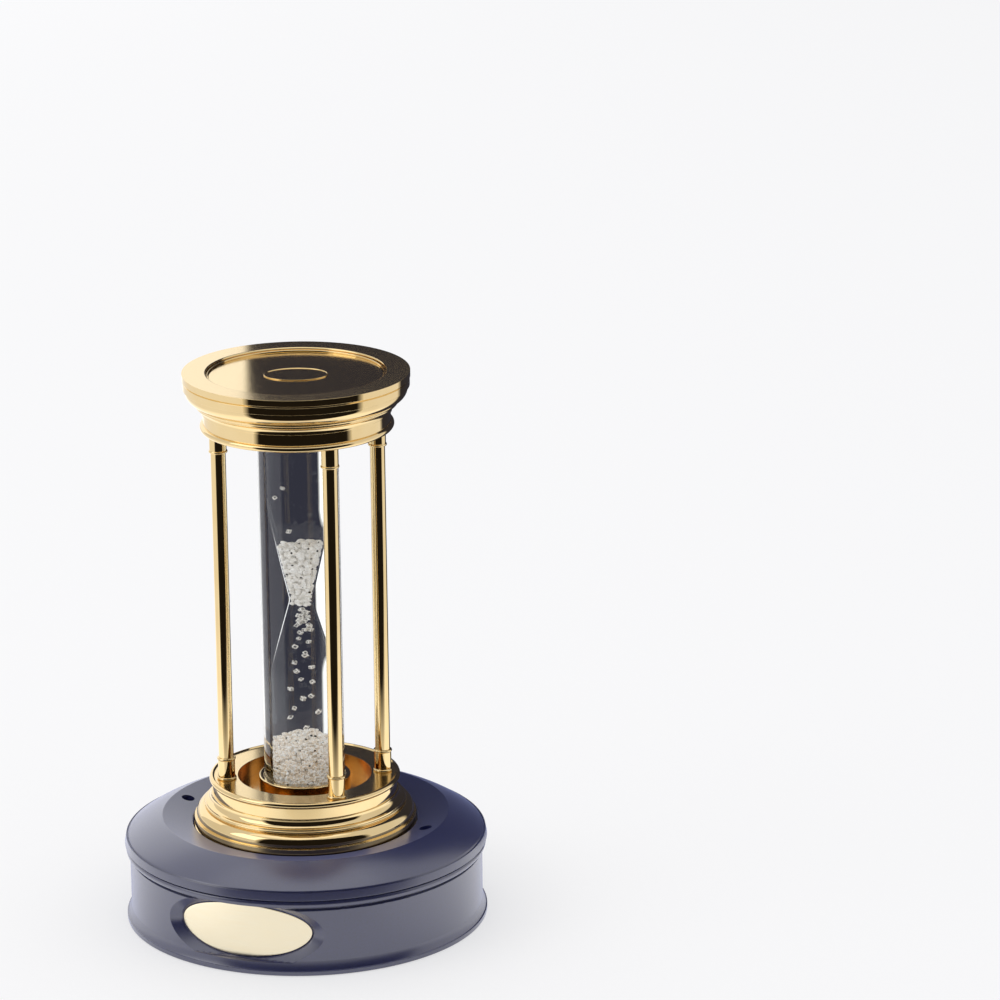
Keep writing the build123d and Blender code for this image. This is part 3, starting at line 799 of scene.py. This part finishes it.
# Plaque, bent to the drum, and the bevelled pocket that it lies in
PLAQUE_AZIMUTH, PLAQUE_Z, PLAQUE_HALF = radians(-110.0), 13.75, (22.9, 9.1)
PLAQUE_FACE_R, PLAQUE_THICKNESS, PLAQUE_EDGE = WALL_R - 2.7, 0.8, 0.12
POCKET_R, POCKET_CLEARANCE, POCKET_LOW_Z, POCKET_HIGH_Z = WALL_R - 3.8, 0.2, 4.2, 23.7
BEVEL_FOOT_R, BEVEL_SLOPES, BEVEL_RINGS = WALL_R - 2.8, (1.6, 1.0), 9
PLAQUE_OUT = Vector((cos(PLAQUE_AZIMUTH), sin(PLAQUE_AZIMUTH), 0))
PLAQUE_ALONG = Vector((-PLAQUE_OUT.y, PLAQUE_OUT.x, 0))

# Shares of an oval's size at which the rings of its field lie, closer towards the rim
FIELD_SHARES = [0.0, 0.12, 0.25, 0.38, 0.5, 0.62, 0.74, 0.86, 0.94, 1.0]


def bent_oval(half, radius, share, turn):
    """A point of an oval that lies on a cylinder about the base's axis, in metres."""
    along, up = half[0] * share * cos(turn), half[1] * share * sin(turn)
    out = sqrt(radius**2 - along**2)
    height = min(max(PLAQUE_Z + up, POCKET_LOW_Z), POCKET_HIGH_Z)
    return (PLAQUE_ALONG * along + PLAQUE_OUT * out + Vector((0, 0, height))) * MM


def oval_shell(name, rings):
    """A closed skin through rings of bent ovals, each given as (half sizes, radius, share)."""
    bpy.ops.object.select_all(action="DESELECT")
    bpy.ops.mesh.primitive_circle_add(vertices=OVAL_STEPS, radius=MM)
    piece = start_piece(name)
    bpy.ops.object.mode_set(mode="EDIT")
    bpy.ops.mesh.select_all(action="SELECT")
    for _ in rings[1:]:
        bpy.ops.mesh.extrude_region_move(TRANSFORM_OT_translate={"value": (0, 0, MM)})
    bpy.ops.object.mode_set(mode="OBJECT")
    for vertex in piece.data.vertices:
        ring, step = divmod(vertex.index, OVAL_STEPS)
        vertex.co = bent_oval(*rings[ring], 2 * pi * step / OVAL_STEPS)
    bpy.ops.object.mode_set(mode="EDIT")
    close_skin()
    return piece


def pocket_cutter():
    """Skin of the space that the plaque's pocket takes out of the drum: floor, bevel and a lid outside."""
    foot = tuple(half + POCKET_CLEARANCE for half in PLAQUE_HALF)
    floor = [(foot, POCKET_R, share) for share in FIELD_SHARES]
    bevel = []
    for ring in range(BEVEL_RINGS):
        rise = (BAND_R - BEVEL_FOOT_R) * ring / (BEVEL_RINGS - 1)
        mouth = tuple(half + slope * rise for half, slope in zip(foot, BEVEL_SLOPES))
        bevel.append((mouth, BEVEL_FOOT_R + rise, 1.0))
    lid = [(mouth, BAND_R, share) for share in reversed(FIELD_SHARES[:-1])]
    return oval_shell("pocket_cutter", [*floor, *bevel, *lid])


def cut(piece, cutter):
    """Takes a cutter's space out of a piece."""
    pick(piece)
    apply_modifier(piece, "BOOLEAN", operation="DIFFERENCE", solver="EXACT", object=cutter)
    bpy.data.objects.remove(cutter)


drum = turned("base_drum_turned", drum_outline(), BASE_EDGE, BASE_STEPS)
cut(drum, pocket_cutter())
soften_edges(drum, 0, LACQUER_SMOOTH)
dress(drum, lacquer, "base", "navy_lacquer", "base_drum")

plaque_face = [(PLAQUE_HALF, PLAQUE_FACE_R, share) for share in FIELD_SHARES]
plaque_back = [(PLAQUE_HALF, PLAQUE_FACE_R - PLAQUE_THICKNESS, share) for share in reversed(FIELD_SHARES)]
plaque = oval_shell("oval_plaque", [*plaque_face, *plaque_back])
soften_edges(plaque, PLAQUE_EDGE)
dress(plaque, satin_gold, "base", "gold_satin", "plaque")

# Lid, with two holes for its screws
LID_HOLE_R, LID_HOLE_CIRCLE_R, LID_HOLE_FLOOR_Z, LID_CUTTER_TOP_Z = 2.2, 43.5, 28.15, 40
LID_HOLE_TURNS = (radians(-21), radians(159))


def lid_outline():
    """Half section of the lid, from the seat out over the dish, ridge and sloping shoulder to its band."""
    seat_r, seat_z = LIP_R + 0.5, 29.4
    dish, ridge = (seat_r, RIDGE_Z - 2.15), (BAND_R - 12.9, RIDGE_Z + 0.1)
    foot, quirk = (BAND_R - 1.3, 29.5), (BAND_R - 1.0, 28.7)
    band_top, band_foot = (BAND_R - 0.55, 29.3), (BAND_R, 26.5)
    spigot_r, spigot_bore_r, spigot_z = WALL_R - 6.2, WALL_R - 9.2, 22.9
    ridge_round, shoulder_bulge = 0.6, 0.45
    crest = corner(dish, ridge, foot, ridge_round)
    return [
        (0, seat_z),
        (seat_r, seat_z),
        dish,
        *crest[:-1],
        *arc(crest[-1], foot, shoulder_bulge, 12),
        quirk,
        band_top,
        band_foot,
        (PARTING_R, band_foot[1]),
        (PARTING_R, DRUM_TOP_Z),
        (spigot_r, DRUM_TOP_Z),
        (spigot_r, spigot_z),
        (spigot_bore_r, spigot_z),
        (spigot_bore_r, DRUM_TOP_Z),
        (0, DRUM_TOP_Z),
    ]


lid = turned("base_lid_turned", lid_outline(), BASE_EDGE, BASE_STEPS)
for turn in LID_HOLE_TURNS:
    hole_axis = (LID_HOLE_CIRCLE_R * cos(turn), LID_HOLE_CIRCLE_R * sin(turn))
    hole_outline = [
        (0, LID_HOLE_FLOOR_Z),
        (LID_HOLE_R, LID_HOLE_FLOOR_Z),
        (LID_HOLE_R, LID_CUTTER_TOP_Z),
        (0, LID_CUTTER_TOP_Z),
    ]
    cut(lid, turned("hole_cutter", hole_outline, 0, HOLE_STEPS, hole_axis))
soften_edges(lid, 0, LACQUER_SMOOTH)
dress(lid, lacquer, "base", "navy_lacquer", "base_lid")

# Studio: a white sheet under a soft white dome, and two dark cards that only gloss and glass show
DOME_LIGHT, DOME_SEEN = (0.78, 0.78, 0.8, 1), (1, 1, 1, 1)
FLOOR_WIDTH, FLOOR_GLOW_SHARE = 12, 0.55
SPILL_LIGHT, SPILL_NEAR, SPILL_FAR = 1.6, (0.05, 0.12), (0.35, 0.2)
LAMP_AIM = Vector((0, 0, 0.1))


def card_paint(name, colour, left, right, fade):
    """Card painted dark, whose ends and foot fade out into the pale studio: a soft dark patch in the gold."""
    material, tree, place = empty_material(name)
    ways = add_node(tree, "SeparateXYZ", {"Vector": place}).outputs
    from_left = add_node(tree, "MapRange", {"Value": ways["X"]}, From_Min=left, From_Max=left + fade[0])
    from_right = add_node(tree, "MapRange", {"Value": ways["X"]}, From_Min=right, From_Max=right - fade[1])
    from_foot = add_node(tree, "MapRange", {"Value": ways["Z"]}, From_Max=fade[2])
    dark = from_left.outputs["Result"]
    for other in (from_right, from_foot):
        both = {0: dark, 1: other.outputs["Result"]}
        dark = add_node(tree, "Math", both, {"operation": "MULTIPLY"}).outputs[0]
    tone = add_node(tree, "Mix", {"Factor": dark}, COLOUR, A=srgb("#F4F2EE"), B=srgb(colour))
    glow = add_node(tree, "Emission", {"Color": tone.outputs["Result"]})
    add_node(tree, "OutputMaterial", {"Surface": glow.outputs["Emission"]})
    return material


def card(name, left, right, height, y, colour, fade):
    """An upright dark card across the studio, which the camera looks through."""
    middle = ((left + right) / 2, y, height / 2)
    bpy.ops.object.select_all(action="DESELECT")
    bpy.ops.mesh.primitive_plane_add(size=1, location=middle, rotation=(pi / 2, 0, 0))
    piece = start_piece(name)
    bpy.ops.transform.resize(value=(right - left, 1, height))
    bpy.ops.object.transform_apply(location=True, rotation=True, scale=True)
    piece.visible_camera = piece.visible_shadow = piece.visible_diffuse = False
    piece.data.materials.append(card_paint(name + "_tone", colour, left, right, fade))


def white_paper():
    """Sheet of white paper: pale with soft shadows, and brighter at the sides where gloss mirrors it."""
    material, tree, place = empty_material("white_paper_sheet")
    ray = add_node(tree, "LightPath").outputs
    larger = {"operation": "MAXIMUM"}
    mirrored = add_node(tree, "Math", {0: ray["Is Glossy Ray"], 1: ray["Is Transmission Ray"]}, larger)
    shown = add_node(tree, "Math", {0: ray["Is Camera Ray"], 1: mirrored.outputs[0]}, larger)
    share = add_node(tree, "Math", {0: shown.outputs[0]}, {"operation": "MULTIPLY"})
    share.inputs[1].default_value = FLOOR_GLOW_SHARE
    paper = add_node(tree, "BsdfDiffuse", Color=srgb("#FBFBFC"))
    ways = add_node(tree, "SeparateXYZ", {"Vector": place}).outputs
    aside = add_node(tree, "Math", {0: ways["X"]}, {"operation": "ABSOLUTE"}).outputs[0]
    near, far = [
        add_node(
            tree, "MapRange", {"Value": aside}, From_Min=dim, From_Max=lit, To_Min=1.0, To_Max=SPILL_LIGHT
        )
        for dim, lit in (SPILL_NEAR, SPILL_FAR)
    ]
    ends = {0: near.outputs["Result"], 1: far.outputs["Result"]}
    spill = add_node(tree, "Math", ends, {"operation": "MINIMUM"}).outputs[0]
    light = add_node(tree, "Mix", {"Factor": ray["Is Glossy Ray"], "B": spill}, {"data_type": "FLOAT"}, A=1.0)
    glow = add_node(tree, "Emission", {"Strength": light.outputs["Result"]}, Color=srgb("#FEFEFE"))
    sheet = {0: share.outputs[0], 1: paper.outputs["BSDF"], 2: glow.outputs["Emission"]}
    blend = add_node(tree, "MixShader", sheet)
    add_node(tree, "OutputMaterial", {"Surface": blend.outputs["Shader"]})
    return material


def softbox(name, place, size, power):
    """A square soft lamp that points at the middle of the hourglass."""
    bpy.ops.object.light_add(type="AREA", location=place)
    lamp = bpy.context.object
    lamp.name = name
    lamp.data.size = size
    lamp.data.energy = power
    aim = LAMP_AIM - Vector(place)
    lamp.rotation_euler = aim.to_track_quat("-Z", "Y").to_euler()


card(
    "dark_card_behind", left=-0.021, right=0.16, height=0.26, y=0.078,
    colour="#34343F", fade=(0.002, 0.03, 0.002),
)
card(
    "dark_card_in_front", left=-0.165, right=0.42, height=0.26, y=-0.145,
    colour="#1E1B18", fade=(0.035, 0.14, 0.03),
)

world = bpy.data.worlds.new("soft_studio")
bpy.context.scene.world = world
world.use_nodes = True
sky = world.node_tree
sky.nodes.clear()
seen = add_node(sky, "LightPath").outputs["Is Camera Ray"]
dome = add_node(sky, "Mix", {"Factor": seen}, COLOUR, A=DOME_LIGHT, B=DOME_SEEN)
backdrop = add_node(sky, "Background", {"Color": dome.outputs["Result"]})
add_node(sky, "OutputWorld", {"Surface": backdrop.outputs["Background"]})

bpy.ops.object.select_all(action="DESELECT")
bpy.ops.mesh.primitive_plane_add(size=FLOOR_WIDTH)
floor = start_piece("floor_sheet")
floor.data.materials.append(white_paper())

softbox("overhead_softbox", place=(-0.1, 0.1, 1.4), size=1.1, power=1.5)
softbox("back_softbox", place=(-0.75, 1.7, 0.8), size=1.5, power=3.0)
softbox("left_softbox", place=(-1.2, -0.5, 1.0), size=1.0, power=3.0)

# Camera: the photograph's view, with the base's centre at its pixel
PHOTO_SIZE = 1000
FOCAL_PIXELS = 4800
PITCH, ROLL = radians(16.665), radians(-0.566)
ORIGIN_PIXEL = (307.86, 908.45)
ORIGIN_DEPTH = 1.631
SENSOR_MM = 36
CLIP_END = 50

right, down = Vector((1, 0, 0)), Vector((0, -sin(PITCH), -cos(PITCH)))
ahead = Vector((0, cos(PITCH), -sin(PITCH)))
right, down = right * cos(ROLL) - down * sin(ROLL), right * sin(ROLL) + down * cos(ROLL)
offset = [(pixel - PHOTO_SIZE / 2) / FOCAL_PIXELS for pixel in ORIGIN_PIXEL]
camera_place = -ORIGIN_DEPTH * (right * offset[0] + down * offset[1] + ahead)
camera_turn = Matrix((right, -down, -ahead)).transposed().to_4x4()
bpy.ops.object.camera_add()
camera = bpy.context.object
camera.data.sensor_width = SENSOR_MM
camera.data.lens = SENSOR_MM * FOCAL_PIXELS / PHOTO_SIZE
camera.data.clip_end = CLIP_END
camera.matrix_world = Matrix.Translation(camera_place) @ camera_turn
bpy.context.scene.camera = camera
bpy.context.scene.view_settings.view_transform = "Standard"
